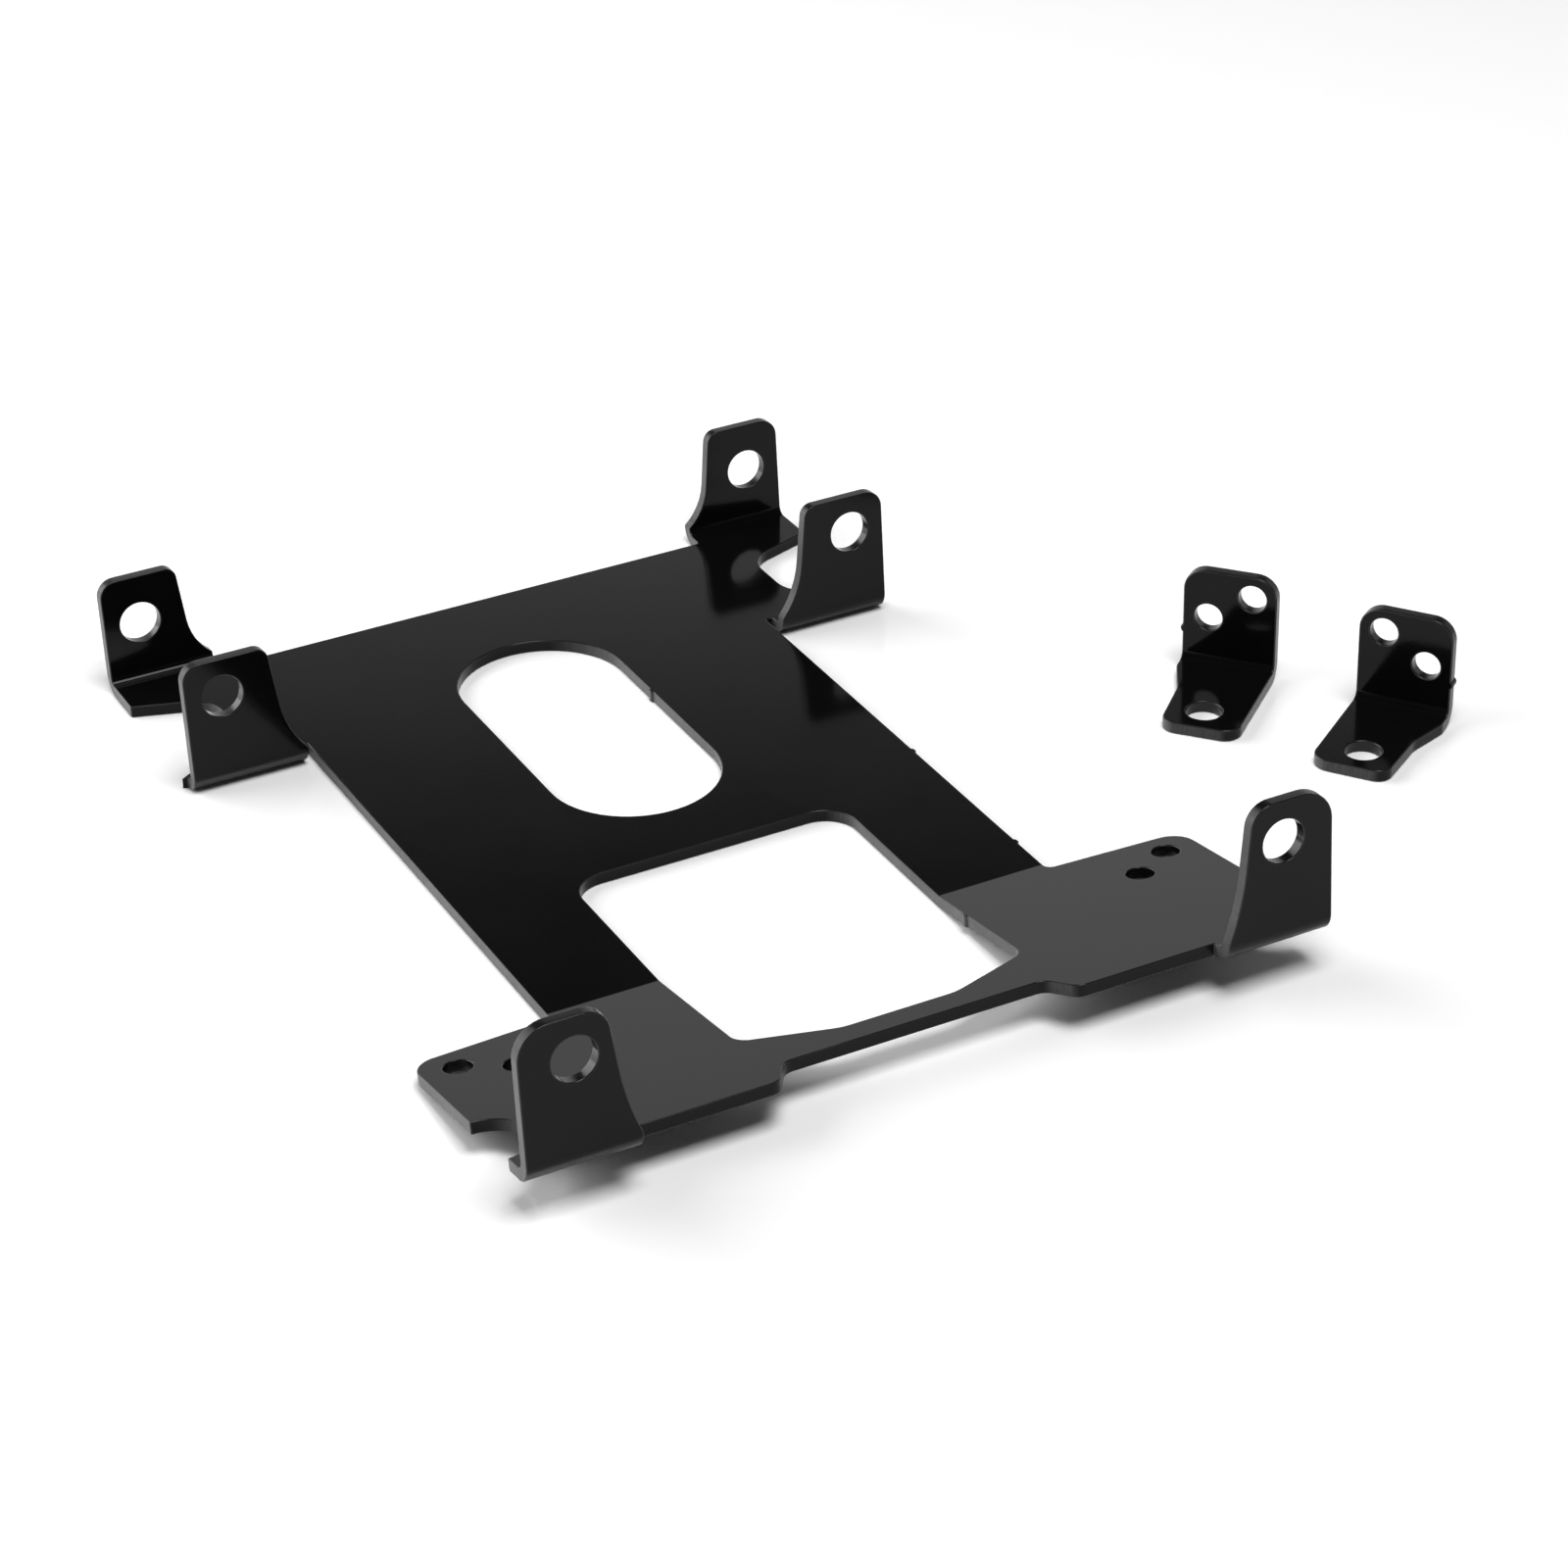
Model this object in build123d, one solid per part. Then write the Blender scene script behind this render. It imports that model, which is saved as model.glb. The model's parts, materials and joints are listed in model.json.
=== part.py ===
from build123d import *
import math
import os

# ATV snow plow mounting kit: one laser-cut and bent steel mount plate with six upstanding
# pin ears, and two loose mirror-image angle brackets lying beside it.
#
# Frame: +Z up, +Y to the rear, +X to the right, millimetres.  The origin is on the underside
# of the plate, on its centre plane, in the middle of the bridge between the two big openings.

# ---------------------------------------------------------------- sheet stock
sheet_t = 4.76              # 3/16 in steel plate, the same stock for all three pieces
bend_r_in = 3.2             # inside radius of every ear and bracket bend
bend_r_out = bend_r_in + sheet_t

# ---------------------------------------------------------------- flat field
field_w = 197.6             # width of the flat field, side edge to side edge
field_len = 289.3           # crease line to the rear edge
bridge_w = 27.0             # bridge between window and slot, along Y
slot_w = 67.0               # round-ended slot, across
slot_len = 146.4            # round-ended slot, overall length
window_w = 111.0            # window, across
window_rear = 74.4          # crease line to the window's rear edge
window_r = 13.0             # window rear corner radius

# ---------------------------------------------------------------- front portion, bent up
front_rise = 8.7            # degrees the front portion climbs
crease_r_in = 5.0           # inside radius of the shallow crease
window_front = 72.0         # crease line to the window's front edge, along the slope
window_flat_w = 44.0        # straight middle stretch of the window's front edge
window_cant = 20.4          # degrees of the window's canted front sides
window_front_r = 7.0        # window front corner radius
window_flat_r = 16.0        # radius between canted side and straight middle
wing_reach = 54.2           # field's side edge to the wing's outer edge
wing_rear_in = 3.6          # wing rear edge at the field's side edge, along the slope
wing_rear_out = 6.6         # wing rear edge at the outer corner
wing_corner_r = 9.5         # rounded rear outer corner of the wing
front_edge = 94.9           # wing's front cut edge, along the slope
bar_edge = 83.2             # recessed front edge of the cross bar
bar_step_out = 57.0         # recess side, outer end
bar_step_in = 50.0          # recess side, inner end
bar_step_r = 6.0            # radii of the recess side

# ---------------------------------------------------------------- pin ears
ear_lean = 3.5              # degrees every ear leans to the rear of square with the field
pin_hole_d = 16.5           # clearance for a 5/8 in pin
pin_reach = 34.4            # field's side edge to the pin holes
rear_ear_reach = 49.2       # field's side edge to the outer edge of the four rear ears
mid_tab_over = 2.4          # the middle ears' tabs stand out this much at their rear corner
back_ear_y = 296.9          # crease line to the front face of the rearmost ears
back_ear_top = 47.4         # height of the rearmost ears
back_pin_h = 27.8           # height of their pin holes
mid_ear_y = 205.9           # crease line to the front face of the middle ears
mid_ear_top = 53.6
mid_pin_h = 38.6
front_ear_u = 104.6         # crease line to the front ears' front face, along the slope
front_ear_top = 52.3        # above the sloping plate
front_pin_h = 36.8
ear_out_r = 7.0             # top outer corner radius of the rear ears
ear_in_r = 5.0              # top inner corner radius of the rear ears
front_out_r = 12.0          # the front ears are rounded more
front_in_r = 9.0
back_ear_in = 18.0          # field's side edge to the inner edge of the rearmost ears, top
back_flare_in = 15.5        # the same, where the concave flare starts
back_flare_h = 24.0
mid_ear_in = 15.2
mid_flare_in = 12.4
mid_flare_h = 30.0
front_ear_in = 22.2
front_flare_in = 19.2
front_flare_h = 28.0

# ---------------------------------------------------------------- notches beside the ear feet
notch_in = 19.0             # field's side edge to the notch between the two rear ears
notch_r = 14.3              # its corner radius
notch_front_y = 234.2       # front wall where it meets the inner wall
notch_rear_in_y = 266.0     # rear wall where it meets the inner wall
notch_rear_y = 276.3        # rear wall at the open side
relief_r = 15.4             # half-round bite in the wing's side, behind the front ear
relief_out = 0.9            # centre of the bite, beyond the wing's outer edge
relief_u = 73.9
relief_gap = 1.2            # slit beside the inner end of a bend
relief_over = 2.0           # the slit runs this far past the start of the bend

# ---------------------------------------------------------------- bolt holes
wing_hole_d = 10.4          # clearance for 3/8 in bolts
br_hole_d = 11.2            # the bracket's holes for the same bolts, a little looser
bolt_dx = 17.4              # two-hole pattern shared by wing and bracket
bolt_dy = 10.8
wing_bolt_in = 13.3         # outer hole of the wing pattern, from the wing's outer edge
wing_bolt_u = 17.9

# ---------------------------------------------------------------- angle brackets
br_leg_w = 37.5             # upright leg width
br_leg_h = 44.1             # upright leg height
br_leg_r = 9.0              # top corner radii
br_foot_len = 51.2          # foot, from the leg's front face
br_foot_w = 30.6            # foot width at the front
br_foot_r = 7.0             # front corner radii
br_bolt_s = 9.9             # upper leg hole, from the straight side
br_bolt_h = 34.8            # upper leg hole, above the floor
br_foot_hole_d = 14.2       # clearance for a 1/2 in bolt
br_foot_hole_s = 16.8
br_foot_hole_f = 38.3
left_br_at = (250.0, -9.4)
left_br_yaw = -49.4
right_br_at = (266.4, -41.0)
right_br_yaw = -54.1

# ---------------------------------------------------------------- cutting marks
nib_len = 3.4               # small witness marks where the parts were tabbed in the sheet
nib_out = 0.9
nib_side_y = (19.2, 95.6)   # two on the field's right side edge
nib_window_u = 19.5         # one on the window's right side
nib_slot_y = 187.0          # one on the slot's right side

# ---------------------------------------------------------------- derived
crease_y = -(window_rear + bridge_w / 2)
field_half = field_w / 2
wing_half = field_half + wing_reach
pin_half = field_half + pin_reach
rear_ear_out = field_half + rear_ear_reach
notch_wall = field_half + notch_in
window_half = window_w / 2
slot_r = slot_w / 2
slot_mid_y = window_rear + bridge_w + slot_len / 2
rise = math.radians(front_rise)
lean = math.radians(ear_lean)
crease_run = crease_r_in * math.tan(rise / 2)
window_slant = math.tan(math.radians(window_cant)) * (window_half - window_flat_w / 2)


def setback(face_r, turn):
    """Run from the start of a bend to the ear face of radius face_r, at the underside."""
    a = math.radians(turn)
    return (face_r - bend_r_out * math.cos(a)) / math.sin(a)


def setback_top(face_r, turn):
    """The same run, at the sheet's upper side."""
    a = math.radians(turn)
    return (face_r - bend_r_in * math.cos(a)) / math.sin(a)


back_bend_y = back_ear_y - setback(bend_r_in, 90 - ear_lean)
mid_bend_y = mid_ear_y + setback(bend_r_out, 90 + ear_lean)
front_bend_u = front_ear_u - setback_top(bend_r_out, 90 + ear_lean - front_rise)
back_bend_in = field_half + 6.7     # inner ends of the bends
mid_bend_in = field_half + 3.0
front_bend_in = field_half + 12.5


def rounded(points, radii):
    """Face whose outline runs through points, each corner rounded by its own radius."""
    corners = []
    for i, r in enumerate(radii):
        p = Vector(*points[i])
        a = (Vector(*points[i - 1]) - p).normalized()
        b = (Vector(*points[(i + 1) % len(points)]) - p).normalized()
        if r == 0:
            corners.append((p, None, p))
            continue
        half = math.acos(a.dot(b)) / 2
        run = r / math.tan(half)
        middle = p + (a + b).normalized() * (r / math.sin(half) - r)
        corners.append((p + a * run, middle, p + b * run))
    edges = []
    for i, (start, middle, end) in enumerate(corners):
        if middle is not None:
            edges.append(Edge.make_three_point_arc(start, middle, end))
        following = corners[(i + 1) % len(corners)][0]
        if (following - end).length > 1e-6:
            edges.append(Edge.make_line(end, following))
    return Face(Wire(edges))


def across(x0):
    """Plane square to X at station x0, with Y to its right and Z up."""
    return Plane(origin=(x0, 0, 0), x_dir=(0, 1, 0), z_dir=(1, 0, 0))


def bend(x0, x1, centre, start, end, r_in):
    """Curved stretch of sheet about centre (y, z), from direction start to direction end."""
    c = Vector(*centre)
    a = Vector(*start)
    b = Vector(*end)
    m = (a + b).normalized()
    r_out = r_in + sheet_t
    edges = [
        Edge.make_three_point_arc(c + a * r_out, c + m * r_out, c + b * r_out),
        Edge.make_line(c + b * r_out, c + b * r_in),
        Edge.make_three_point_arc(c + b * r_in, c + m * r_in, c + a * r_in),
        Edge.make_line(c + a * r_in, c + a * r_out),
    ]
    return extrude(across(x0) * Face(Wire(edges)), amount=x1 - x0, dir=(1, 0, 0))


slope_plane = Plane(
    origin=(0, crease_y, sheet_t),
    x_dir=(1, 0, 0),
    z_dir=(0, math.sin(rise), math.cos(rise)),
)


def on_slope(u, n):
    """World (y, z) of a point u forward of the crease and n above the sloping plate."""
    y = crease_y - u * math.cos(rise) + n * math.sin(rise)
    return y, sheet_t + u * math.sin(rise) + n * math.cos(rise)


def make_field():
    """Right half of the flat field, with its tabs for the rear ears."""
    y0 = crease_y + crease_run
    back = crease_y + back_bend_y
    mid = crease_y + mid_bend_y
    outline = [
        ((0, y0), 0),
        ((field_half, y0), 0),
        ((field_half, mid + relief_over), relief_gap),
        ((mid_bend_in, mid + relief_over), 0),
        ((mid_bend_in, mid), 0),
        ((rear_ear_out, mid), 0),
        ((rear_ear_out + mid_tab_over, mid), 0),
        ((notch_wall, crease_y + notch_front_y), notch_r),
        ((notch_wall, crease_y + notch_rear_in_y), notch_r),
        ((rear_ear_out, crease_y + notch_rear_y), 0),
        ((rear_ear_out, back), 0),
        ((back_bend_in, back), 0),
        ((back_bend_in, crease_y + field_len), relief_gap),
        ((0, crease_y + field_len), 0),
    ]
    face = rounded([p for p, r in outline], [r for p, r in outline])
    return extrude(face, amount=sheet_t, dir=(0, 0, 1))


def make_wing():
    """Right half of the sloping front portion; v runs rearward in its own plane."""
    outline = [
        ((0, -crease_run), 0),
        ((field_half, -crease_run), 0),
        ((field_half, -wing_rear_in), wing_rear_in - crease_run - 0.2),
        ((wing_half, -wing_rear_out), wing_corner_r),
        ((wing_half, -front_bend_u), 0),
        ((front_bend_in, -front_bend_u), 0),
        ((front_bend_in, -front_edge), 0),
        ((bar_step_out, -front_edge), bar_step_r),
        ((bar_step_in, -bar_edge), bar_step_r),
        ((0, -bar_edge), 0),
    ]
    face = rounded([p for p, r in outline], [r for p, r in outline])
    wing = extrude(slope_plane * face, amount=sheet_t, dir=-slope_plane.z_dir)
    return wing - slope_plane * Pos(wing_half + relief_out, -relief_u) * Cylinder(relief_r, 4 * sheet_t)


def make_crease():
    """Shallow bend that joins field and front portion, right half."""
    y = crease_y + crease_run
    up = (math.sin(rise), math.cos(rise))
    centre = (y, sheet_t + crease_r_in)
    return bend(0, field_half, centre, (0, -1), (-up[0], -up[1]), crease_r_in)


def window_cut():
    """Window through the field and the front portion, as two tools."""
    rear = Pos(0, crease_y + window_rear / 2 - 10) * RectangleRounded(
        window_w, window_rear + 20, window_r)
    front = [
        ((-window_half, 20), 0),
        ((-window_half, window_slant - window_front), window_front_r),
        ((-window_flat_w / 2, -window_front), window_flat_r),
        ((window_flat_w / 2, -window_front), window_flat_r),
        ((window_half, window_slant - window_front), window_front_r),
        ((window_half, 20), 0),
    ]
    tool = rounded([p for p, r in front], [r for p, r in front])
    return extrude(rear, amount=4 * sheet_t, both=True), extrude(
        slope_plane * tool, amount=2 * sheet_t, both=True)


def slot_cut():
    """Round-ended slot along the centre plane."""
    shape = Pos(0, crease_y + slot_mid_y) * Rot(0, 0, 90) * SlotOverall(slot_len, slot_w)
    return extrude(shape, amount=2 * sheet_t, both=True)


def ear(origin, centre, folds_back, x_in, x_out, edge, flare, top, radii, pin_h):
    """Right-hand ear and its bend.  origin is (y, z) on its front face at height nought,
    centre the bend's centre, edge and flare the stations of its inner edge."""
    up = Vector(math.sin(lean), math.cos(lean))
    forward = Vector(-math.cos(lean), math.sin(lean))
    foot = (Vector(*centre) - Vector(*origin)).dot(up)
    plane = Plane(
        origin=(0, origin[0], origin[1]),
        x_dir=(1, 0, 0),
        z_dir=(0, forward.X, forward.Y),
    )
    upper = rounded(
        [(x_out, foot), (x_out, top), (edge, top), flare, (flare[0], foot)],
        [0, radii[0], radii[1], 0, 0],
    )
    slant = Vector(flare[0] - edge, flare[1] - top)
    curve = Edge.make_tangent_arc(Vector(*flare), slant, Vector(x_in, foot))
    lower = Face(Wire([
        curve,
        Edge.make_line((x_in, foot), (flare[0], foot)),
        Edge.make_line((flare[0], foot), flare),
    ]))
    blade = extrude(plane * upper, amount=sheet_t, dir=-plane.z_dir)
    blade += extrude(plane * lower, amount=sheet_t, dir=-plane.z_dir)
    blade -= plane * Pos(pin_half, pin_h) * Cylinder(pin_hole_d / 2, 4 * sheet_t)
    down = (0, -1) if folds_back is None else folds_back
    outward = forward if centre[0] > origin[0] else -forward
    curl = bend(x_in, x_out, centre, down, (outward.X, outward.Y), bend_r_in)
    return blade + curl


def make_ears():
    """The three right-hand ears: rearmost, middle and front."""
    z = sheet_t + bend_r_in
    rear_radii = (ear_out_r, ear_in_r)
    front_radii = (front_out_r, front_in_r)
    below_slope = (-math.sin(rise), -math.cos(rise))
    back = ear(
        (crease_y + back_ear_y, 0), (crease_y + back_bend_y, z), None,
        back_bend_in, rear_ear_out, field_half + back_ear_in,
        (field_half + back_flare_in, back_flare_h),
        back_ear_top, rear_radii, back_pin_h)
    mid = ear(
        (crease_y + mid_ear_y, 0), (crease_y + mid_bend_y, z), None,
        mid_bend_in, rear_ear_out, field_half + mid_ear_in,
        (field_half + mid_flare_in, mid_flare_h),
        mid_ear_top, rear_radii, mid_pin_h)
    front = ear(
        on_slope(front_ear_u, 0), on_slope(front_bend_u, bend_r_in), below_slope,
        front_bend_in, wing_half, field_half + front_ear_in,
        (field_half + front_flare_in, front_flare_h),
        front_ear_top, front_radii, front_pin_h)
    return [back, mid, front]


def nib(x, y, plane, thickness):
    """Small rounded witness mark on a cut edge at (x, y) of a plane."""
    reach = (nib_len ** 2 / 4 + nib_out ** 2) / (2 * nib_out)
    disc = Pos(x + nib_out - reach, y) * Circle(reach)
    strip = Pos(x + nib_out / 2 - 0.25, y) * Rectangle(nib_out + 0.5, nib_len)
    return extrude(plane * (disc & strip), amount=thickness)


def make_plate():
    """Whole mount plate: both halves, openings, bolt holes and cutting marks."""
    half = make_field() + make_crease() + make_wing()
    for piece in make_ears():
        half += piece
    for k in range(2):
        at = (wing_half - wing_bolt_in - k * bolt_dx, -(wing_bolt_u + k * bolt_dy))
        half -= slope_plane * Pos(*at) * Cylinder(wing_hole_d / 2, 4 * sheet_t)
    plate = half + mirror(half, about=Plane.YZ)
    for tool in (*window_cut(), slot_cut()):
        plate -= tool
    for y in nib_side_y:
        plate += nib(field_half, crease_y + y, Plane.XY, sheet_t)
    inward = Plane(origin=slope_plane.origin, x_dir=(-1, 0, 0), z_dir=slope_plane.z_dir)
    plate += nib(-window_half, nib_window_u, inward, -sheet_t)
    plate += nib(-slot_r, -(crease_y + nib_slot_y), Plane(origin=(0, 0, 0), x_dir=(-1, 0, 0), z_dir=(0, 0, 1)), sheet_t)
    return plate


def make_bracket():
    """Angle bracket with its straight side at X 0 and its foot towards -Y."""
    z = sheet_t + bend_r_in
    leg = rounded(
        [(0, z), (br_leg_w, z), (br_leg_w, br_leg_h), (0, br_leg_h)],
        [0, 0, br_leg_r, br_leg_r],
    )
    leg = extrude(Plane.XZ * leg, amount=sheet_t, dir=(0, 1, 0))
    foot = rounded(
        [
            (0, -bend_r_in),
            (0, -br_foot_len),
            (br_foot_w, -br_foot_len),
            (br_foot_w + 1.4, -24.0),
            (br_leg_w, -7.0),
            (br_leg_w, -bend_r_in),
        ],
        [0, br_foot_r, br_foot_r - 1, 14.0, 6.0, 0],
    )
    foot = extrude(foot, amount=sheet_t, dir=(0, 0, 1))
    curl = bend(0, br_leg_w, (-bend_r_in, z), (0, -1), (1, 0), bend_r_in)
    piece = leg + curl + foot
    for k in range(2):
        at = (br_bolt_s + k * bolt_dx, 0, br_bolt_h - k * bolt_dy)
        piece -= Pos(*at) * Rot(90, 0, 0) * Cylinder(br_hole_d / 2, 4 * sheet_t)
    piece -= Pos(br_foot_hole_s, -br_foot_hole_f, 0) * Cylinder(br_foot_hole_d / 2, 4 * sheet_t)
    return piece + nib(br_leg_w, 17.5, Plane.XZ, -sheet_t)


def place(piece, at, yaw):
    """Stand a bracket on the floor beside the plate."""
    return Pos(at[0], at[1], 0) * Rot(0, 0, yaw) * piece


def main():
    os.makedirs("parts", exist_ok=True)
    bracket = make_bracket()
    nodes = {
        "mount_plate": make_plate(),
        "angle_bracket_left": place(mirror(bracket, about=Plane.YZ), left_br_at, left_br_yaw),
        "angle_bracket_right": place(bracket, right_br_at, right_br_yaw),
    }
    for name, solid in nodes.items():
        export_step(solid, f"parts/{name}.step")


main()
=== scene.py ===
import bpy
import json
import math
from mathutils import Matrix, Vector


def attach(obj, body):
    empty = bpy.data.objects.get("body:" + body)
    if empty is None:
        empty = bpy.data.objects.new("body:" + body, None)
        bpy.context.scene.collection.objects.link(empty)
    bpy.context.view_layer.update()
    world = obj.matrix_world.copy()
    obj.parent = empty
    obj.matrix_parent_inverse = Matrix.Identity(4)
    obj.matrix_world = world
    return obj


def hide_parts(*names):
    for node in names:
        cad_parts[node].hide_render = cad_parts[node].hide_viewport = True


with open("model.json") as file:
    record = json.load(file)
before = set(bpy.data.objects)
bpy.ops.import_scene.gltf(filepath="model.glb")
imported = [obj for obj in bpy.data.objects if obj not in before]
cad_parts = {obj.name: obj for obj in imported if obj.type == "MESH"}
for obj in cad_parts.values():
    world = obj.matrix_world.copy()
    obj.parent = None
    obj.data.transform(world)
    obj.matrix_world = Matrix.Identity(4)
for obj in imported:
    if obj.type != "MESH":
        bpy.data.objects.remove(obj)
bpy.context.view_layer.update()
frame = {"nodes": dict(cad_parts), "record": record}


# ------------------------------------------------------------------ mount plate
# One piece of 3/16 in steel plate, laser cut, with six pin ears bent up and the front bent
# to a shallow slope, then powder coated gloss black.  The coat rounds the square corners,
# lies a little thinner there, and shows the faint ripple of the cut on the edges.  Cut edges
# and corners that face left or right are also painted lighter, a painted highlight.

sheet_t = 0.00476
front_rise = math.radians(8.7)
crease_y = -0.0879
upper_z = 0.040             # higher than this, only the cut tops of ears and legs face up

coat_round = 0.0006
round_segments = 3
square_corner = math.radians(70)    # the blunter corners of the small cutting nibs stay sharp
broad_face_weight = 60

weld_gap = 0.000004
flat_turn = math.radians(0.6)

edge_margin = 0.0002        # from either side of the sheet to the middle of a cut edge's face
square_on = 0.9             # cosines: turned squarely one way,
across_bore = 0.3           # square to a hole's axis,
plate_side_turn = 0.02      # and leaning sideways at all
bore_reach = 1.5            # how far from its mount a wall is looked for, in sheet_t
bore_slack = 1.04           # and from its axis, in radii of the hole

coat_black = (0.0022, 0.0022, 0.0023, 1)
coat_soft_black = (0.0045, 0.0044, 0.0042, 1)
edge_black = (0.006, 0.006, 0.006, 1)
# the grey of the painted highlight on cut edges that face left or right
edge_highlight_grey = (0.150, 0.150, 0.151, 1)
# worn corners, and the painted highlight on corners that face left or right
corner_wear_and_highlight_grey = (0.080, 0.080, 0.080, 1)


class Finish:
    """The nodes of a material or of the world, with one method that adds any node."""

    def __init__(self, owner):
        owner.use_nodes = True
        self.owner = owner
        self.nodes = owner.node_tree.nodes
        self.links = owner.node_tree.links
        self.nodes.clear()

    def node(self, kind, settings=None, values=None):
        made = self.nodes.new(kind)
        for key, value in (settings or {}).items():
            setattr(made, key, value)
        for key, value in (values or {}).items():
            if isinstance(value, Value):
                value = value.socket
            if isinstance(value, bpy.types.NodeSocket):
                self.links.new(value, made.inputs[key])
            else:
                made.inputs[key].default_value = value
        return made

    def value(self, kind, output, settings=None, values=None):
        return Value(self, self.node(kind, settings, values).outputs[output])

    def mix_colour(self, amount, low, high):
        """A blend of two colours, which are a Mix node's inputs 6 and 7."""
        made = self.node("ShaderNodeMix", {"data_type": "RGBA"},
                         {"Factor": amount, 6: low, 7: high})
        return made.outputs[2]


class Value:
    """A number in a material: arithmetic on it adds Math nodes."""

    def __init__(self, finish, socket):
        self.finish = finish
        self.socket = socket

    def math(self, operation, a, b, clamp=False):
        return self.finish.value(
            "ShaderNodeMath", 0, {"operation": operation, "use_clamp": clamp}, {0: a, 1: b})

    def __add__(self, other):
        return self.math("ADD", self, other)

    def __radd__(self, other):
        return self.math("ADD", other, self)

    def __sub__(self, other):
        return self.math("SUBTRACT", self, other)

    def __rsub__(self, other):
        return self.math("SUBTRACT", other, self)

    def __mul__(self, other):
        return self.math("MULTIPLY", self, other)

    def __rmul__(self, other):
        return self.math("MULTIPLY", other, self)

    def clamped(self):
        return self.math("ADD", self, 0.0, clamp=True)


def noise(finish, scale, detail=2.0, stretch=(1, 1, 1)):
    """Noise on object coordinates, in cycles per metre, stretched per axis."""
    place = finish.node("ShaderNodeTexCoord").outputs["Object"]
    if stretch != (1, 1, 1):
        place = finish.node("ShaderNodeMapping", None, {"Vector": place, "Scale": stretch}).outputs[0]
    return finish.value("ShaderNodeTexNoise", 0, None,
                        {"Vector": place, "Scale": scale, "Detail": detail})


def coat(finish, colour, roughness, height, depth, specular):
    """Powder coat: colour and roughness over the surface, with a fine relief."""
    relief = finish.node("ShaderNodeBump", None,
                         {"Height": height, "Strength": 0.5, "Distance": depth})
    shader = finish.node("ShaderNodeBsdfPrincipled", None, {
        "Base Color": colour,
        "Roughness": roughness,
        "Normal": relief.outputs[0],
        "Specular IOR Level": specular,
    })
    finish.node("ShaderNodeOutputMaterial", None, {0: shader.outputs[0]})
    return finish.owner


def face_coat():
    """Broad faces: gloss with an orange-peel ripple and a fine powder grain."""
    finish = Finish(bpy.data.materials.new("gloss_black_face"))
    peel = noise(finish, scale=520)
    grain = noise(finish, scale=2600, detail=1)
    drift = noise(finish, scale=22, detail=3)
    colour = finish.mix_colour((drift * 0.7 + grain * 0.3).clamped(), coat_black, coat_soft_black)
    return coat(finish, colour, roughness=0.05 + drift * 0.06 + grain * 0.05,
                height=peel * 0.7 + grain * 0.3, depth=0.00002, specular=0.16)


def sideways(finish):
    """1 where a surface faces left or right, down to 0 some 60 degrees away from there."""
    facing = finish.node("ShaderNodeTexCoord").outputs["Normal"]
    across = finish.value("ShaderNodeSeparateXYZ", "X", None, {"Vector": facing})
    return (across * across * 1.3 - 0.3).clamped()


def edge_coat(name, along):
    """Cut edges: the ripple of the cut is drawn out along one axis, through the sheet's
    thickness on the plate, and edges that face sideways are painted a lighter satin grey,
    a painted highlight for the light they catch."""
    finish = Finish(bpy.data.materials.new(name))
    ripple = noise(finish, scale=1500, stretch=along)
    drift = noise(finish, scale=60)
    # painted highlight: cut edges that face left or right are painted lighter grey
    side_highlight = sideways(finish)
    colour = finish.mix_colour((side_highlight * (ripple * 0.5 + drift * 0.6 + 0.15)).clamped(),
                               edge_black, edge_highlight_grey)
    return coat(finish, colour, roughness=0.14 + ripple * 0.08 + side_highlight * 0.16,
                height=ripple, depth=0.00006, specular=0.14)


def bore_coat():
    """Walls of the holes: the coat lies thick and black there."""
    finish = Finish(bpy.data.materials.new("bore_wall"))
    ripple = noise(finish, scale=1500)
    colour = finish.mix_colour(ripple, coat_black, coat_soft_black)
    return coat(finish, colour, roughness=0.12 + ripple * 0.10,
                height=ripple, depth=0.00004, specular=0.35)


def corner_coat():
    """Rounded corners, where the coat is thin and worn a little lighter at random, and
    painted lighter still where they face sideways, a painted highlight.
    """
    finish = Finish(bpy.data.materials.new("worn_and_highlit_corner"))
    grain = noise(finish, scale=1800)
    rub = noise(finish, scale=90, detail=3)
    # painted highlight: corners that face left or right are painted lighter, over the random wear
    colour = finish.mix_colour(((sideways(finish) + 0.15) * (rub + grain * 0.3)).clamped(),
                               edge_black, corner_wear_and_highlight_grey)
    return coat(finish, colour, roughness=0.14 + rub * 0.10,
                height=grain, depth=0.00004, specular=0.30)


finishes = (
    face_coat(),
    edge_coat("cut_edge_flat", (1, 1, 0.05)),
    edge_coat("cut_edge_ear", (1, 0.05, 1)),
    corner_coat(),
    bore_coat(),
)
face_slot, flat_edge_slot, ear_edge_slot, corner_slot, bore_slot = range(len(finishes))


def bare_copy(node, name):
    """A merged copy of a CAD node, cleared of the needless edges on its flat faces."""
    piece = bpy.data.objects.new(name, frame["nodes"][node].data.copy())
    bpy.context.scene.collection.objects.link(piece)
    bpy.ops.object.select_all(action="DESELECT")
    bpy.context.view_layer.objects.active = piece
    piece.select_set(True)
    bpy.ops.object.mode_set(mode="EDIT")
    bpy.ops.mesh.select_all(action="SELECT")
    bpy.ops.mesh.customdata_custom_splitnormals_clear()
    bpy.ops.mesh.remove_doubles(threshold=weld_gap)
    bpy.ops.mesh.dissolve_limited(angle_limit=flat_turn)
    bpy.ops.mesh.select_all(action="DESELECT")
    bpy.ops.object.mode_set(mode="OBJECT")
    piece.data.materials.clear()
    return piece


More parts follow.
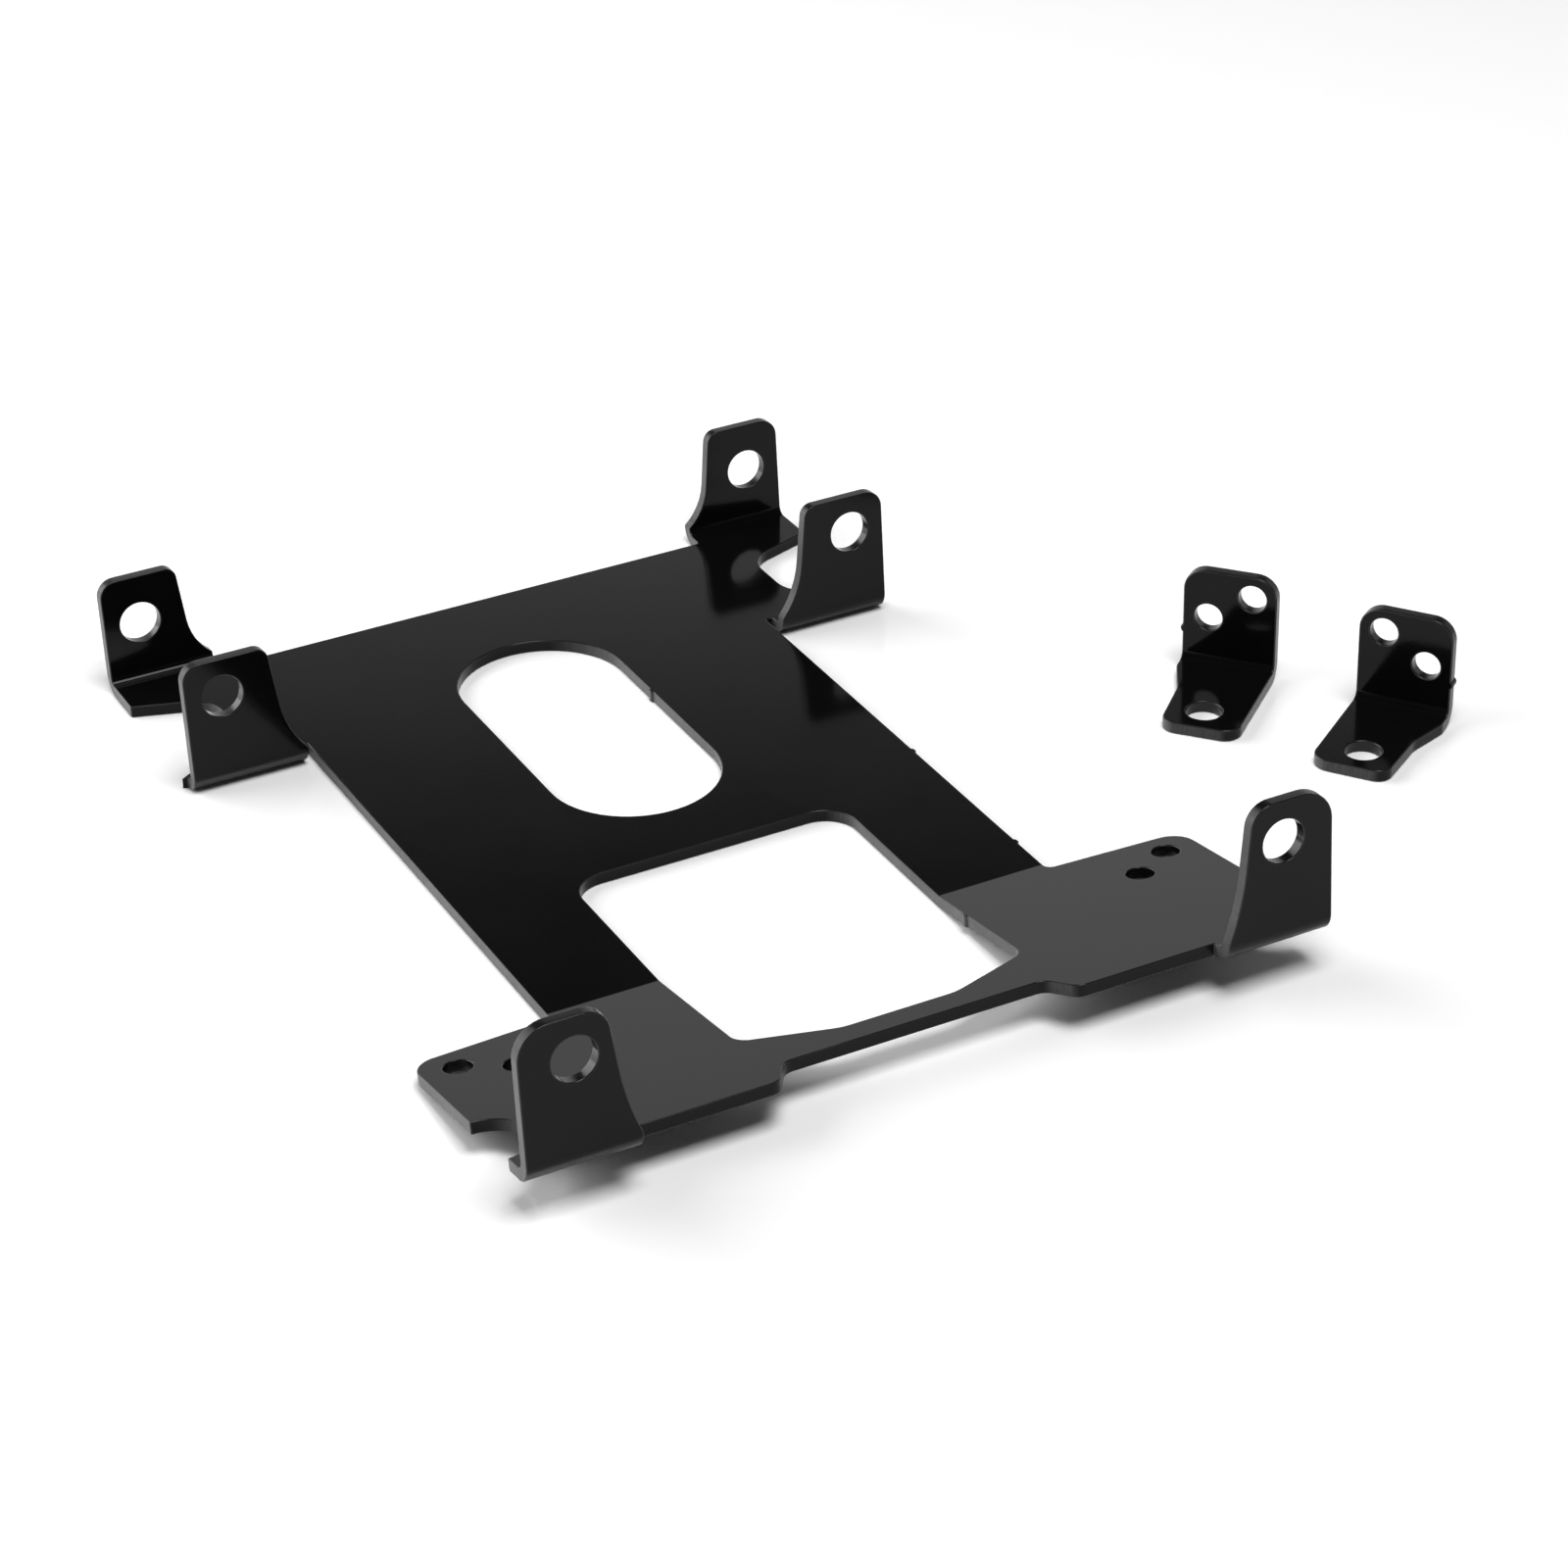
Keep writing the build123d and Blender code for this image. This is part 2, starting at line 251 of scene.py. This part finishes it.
def coat_piece(piece, slot_of):
    """Gives each face its finish, rounds the square corners as the coat does, and shades
    the piece smooth."""
    for finish in finishes:
        piece.data.materials.append(finish)
    for face in piece.data.polygons:
        face.material_index = slot_of(face)
    bevel = piece.modifiers.new("coat_round", "BEVEL")
    bevel.width = coat_round
    bevel.segments = round_segments
    bevel.limit_method = "ANGLE"
    bevel.angle_limit = square_corner
    bevel.material = corner_slot
    bpy.ops.object.modifier_apply(modifier=bevel.name)
    bpy.ops.object.shade_smooth()
    even = piece.modifiers.new("even_faces", "WEIGHTED_NORMAL")
    even.weight = broad_face_weight
    bpy.ops.object.modifier_apply(modifier=even.name)


bore_sizes = [
    (Vector(mount["pos_m"]), Vector(mount["axis"]), mount["dims"]["r_mm"] / 1000)
    for mount in frame["record"]["mounts"] if mount["kind"] == "bore"
]


def in_bore(face):
    """Whether a face is part of the wall of one of the record's holes: it lies close to
    the hole's mount and within its radius, and is turned square to its axis."""
    for place, axis, radius in bore_sizes:
        offset = face.center - place
        depth = offset.dot(axis)
        near = (abs(depth) < bore_reach * sheet_t
                and (offset - axis * depth).length < bore_slack * radius)
        if near and abs(face.normal.dot(axis)) < across_bore:
            return True
    return False


def depth_below_top(centre):
    """How far a point lies under the sheet's upper side, on the field or on the slope."""
    if centre.y > crease_y:
        return sheet_t - centre.z
    slope_normal = Vector((0, math.sin(front_rise), math.cos(front_rise)))
    return -(centre - Vector((0, crease_y, sheet_t))).dot(slope_normal)


def plate_slot(face):
    """The finish that a face of the mount plate has."""
    if in_bore(face):
        return bore_slot
    in_sheet = edge_margin < depth_below_top(face.center) < sheet_t - edge_margin
    if abs(face.normal.x) > plate_side_turn:
        return flat_edge_slot if in_sheet else ear_edge_slot
    if in_sheet and abs(face.normal.y) > square_on:
        return flat_edge_slot
    if face.center.z > upper_z and face.normal.z > square_on:
        return ear_edge_slot
    return face_slot


plate = bare_copy("mount_plate", "mount_plate_coated")
coat_piece(plate, plate_slot)
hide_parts("mount_plate")
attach(plate, "plate")


# ------------------------------------------------------------------ angle brackets
# Two loose angle brackets of the same plate, a mirror-image pair.  Each has an upright leg
# with two bolt holes and a foot with one larger hole, under the same gloss black coat.

bracket_turns = {"left": -49.4, "right": -54.1}     # degrees, as they lie on the floor
bracket_side_turn = 0.05                            # cosine: leaning sideways at all


def bracket_slot(face, across):
    """The finish that a face of a bracket has, where the leg's broad sides face across."""
    if in_bore(face):
        return bore_slot
    if abs(face.normal.dot(Vector((-across.y, across.x, 0)))) > bracket_side_turn:
        return flat_edge_slot if face.center.z < sheet_t else ear_edge_slot
    if face.center.z > upper_z and face.normal.z > square_on:
        return ear_edge_slot
    if face.center.z < sheet_t - edge_margin and abs(face.normal.dot(across)) > square_on:
        return flat_edge_slot
    return face_slot


for side, degrees in bracket_turns.items():
    turn = math.radians(degrees)
    across = Vector((-math.sin(turn), math.cos(turn), 0))
    bracket = bare_copy("angle_bracket_" + side, "angle_bracket_coated_" + side)
    coat_piece(bracket, lambda face: bracket_slot(face, across))
    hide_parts("angle_bracket_" + side)
    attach(bracket, "bracket_" + side)


# It is a shade past white to the eye and in mirror images, and less than white to the
# light that bounces off it.

floor_size = 14
floor_gap = 0.0001
floor_bounce = (0.80, 0.80, 0.80, 1)
floor_white = (1.25, 1.25, 1.25, 1)
floor_mirror = (0.9, 0.9, 0.9, 1)
floor_gloss = 0.12

bpy.ops.object.select_all(action="DESELECT")
bpy.ops.mesh.primitive_plane_add(size=floor_size, location=(0, 0, -floor_gap))
floor = bpy.context.object
floor.name = "floor"
sheet = Finish(bpy.data.materials.new("white_floor"))
path = sheet.node("ShaderNodeLightPath").outputs
seen = (Value(sheet, path["Is Camera Ray"]) + Value(sheet, path["Is Glossy Ray"])
        + Value(sheet, path["Is Transmission Ray"])).clamped()
diffuse = sheet.node("ShaderNodeBsdfDiffuse", None,
                     {"Color": sheet.mix_colour(seen, floor_bounce, floor_white)})
mirror = sheet.node("ShaderNodeBsdfGlossy", None, {"Color": floor_mirror, "Roughness": 0.04})
whole = sheet.node("ShaderNodeMixShader", None,
                   {0: floor_gloss, 1: diffuse.outputs[0], 2: mirror.outputs[0]})
sheet.node("ShaderNodeOutputMaterial", None, {0: whole.outputs[0]})
floor.data.materials.append(sheet.owner)


# ------------------------------------------------------------------ light
# A large soft light behind on the left, a smaller one above and a little in front, and a
# pale surround that darkens upwards and forwards, so the flat field mirrors a darker part
# of it than the slope does.  The camera itself sees the surround white.

studio = Finish(bpy.data.worlds.new("studio"))
bpy.context.scene.world = studio.owner


def smooth_ramp(finish, value, start, end, low, high):
    """A number that goes smoothly from low, where value is start, to high at end."""
    return finish.value("ShaderNodeMapRange", 0, {"interpolation_type": "SMOOTHSTEP"}, {
        "Value": value, "From Min": start, "From Max": end, "To Min": low, "To Max": high})


look = studio.node("ShaderNodeTexCoord").outputs["Generated"]
direction = studio.node("ShaderNodeSeparateXYZ", None, {"Vector": look}).outputs
upwards = smooth_ramp(studio, direction["Z"], start=0.40, end=0.545, low=1.0, high=0.025)
forwards = smooth_ramp(studio, direction["Y"], start=-0.35, end=0.35, low=0.12, high=1.0)
seen = studio.value("ShaderNodeLightPath", "Is Camera Ray")
surround = studio.node("ShaderNodeBackground", None, {
    "Color": (1, 1, 1, 1), "Strength": upwards * forwards * (1 - seen) + seen})
studio.node("ShaderNodeOutputWorld", None, {0: surround.outputs[0]})


def soft_light(name, place, size, power):
    """A square soft light at a place, facing the origin."""
    bpy.ops.object.select_all(action="DESELECT")
    bpy.ops.object.light_add(type="AREA", location=place)
    lamp = bpy.context.object
    lamp.name = name
    lamp.data.shape = "SQUARE"
    lamp.data.size = size
    lamp.data.energy = power
    lamp.visible_camera = False
    lamp.rotation_euler = (-Vector(place)).to_track_quat("-Z", "Y").to_euler()


soft_light("back_left_light", place=(-1.6, 1.5, 1.1), size=2.4, power=50)
soft_light("top_light", place=(0.1, -0.7, 2.1), size=1.1, power=34)


# ------------------------------------------------------------------ camera
# Long lens from the front left, looking down at about 30 degrees.

eye = Vector((-0.57989, -1.21563, 0.81157))
right = Vector((0.88497, -0.46510, -0.02274))
up = Vector((0.25278, 0.43881, 0.86229))
bpy.ops.object.select_all(action="DESELECT")
bpy.ops.object.camera_add(location=eye)
camera = bpy.context.object
camera.name = "camera"
camera.data.sensor_width = 36
camera.data.lens = 98.02
camera.data.shift_x = 0.00188
camera.data.shift_y = -0.00039
camera.rotation_euler = Matrix((right, up, right.cross(up))).transposed().to_euler()
bpy.context.scene.camera = camera
bpy.context.scene.view_settings.view_transform = "Standard"
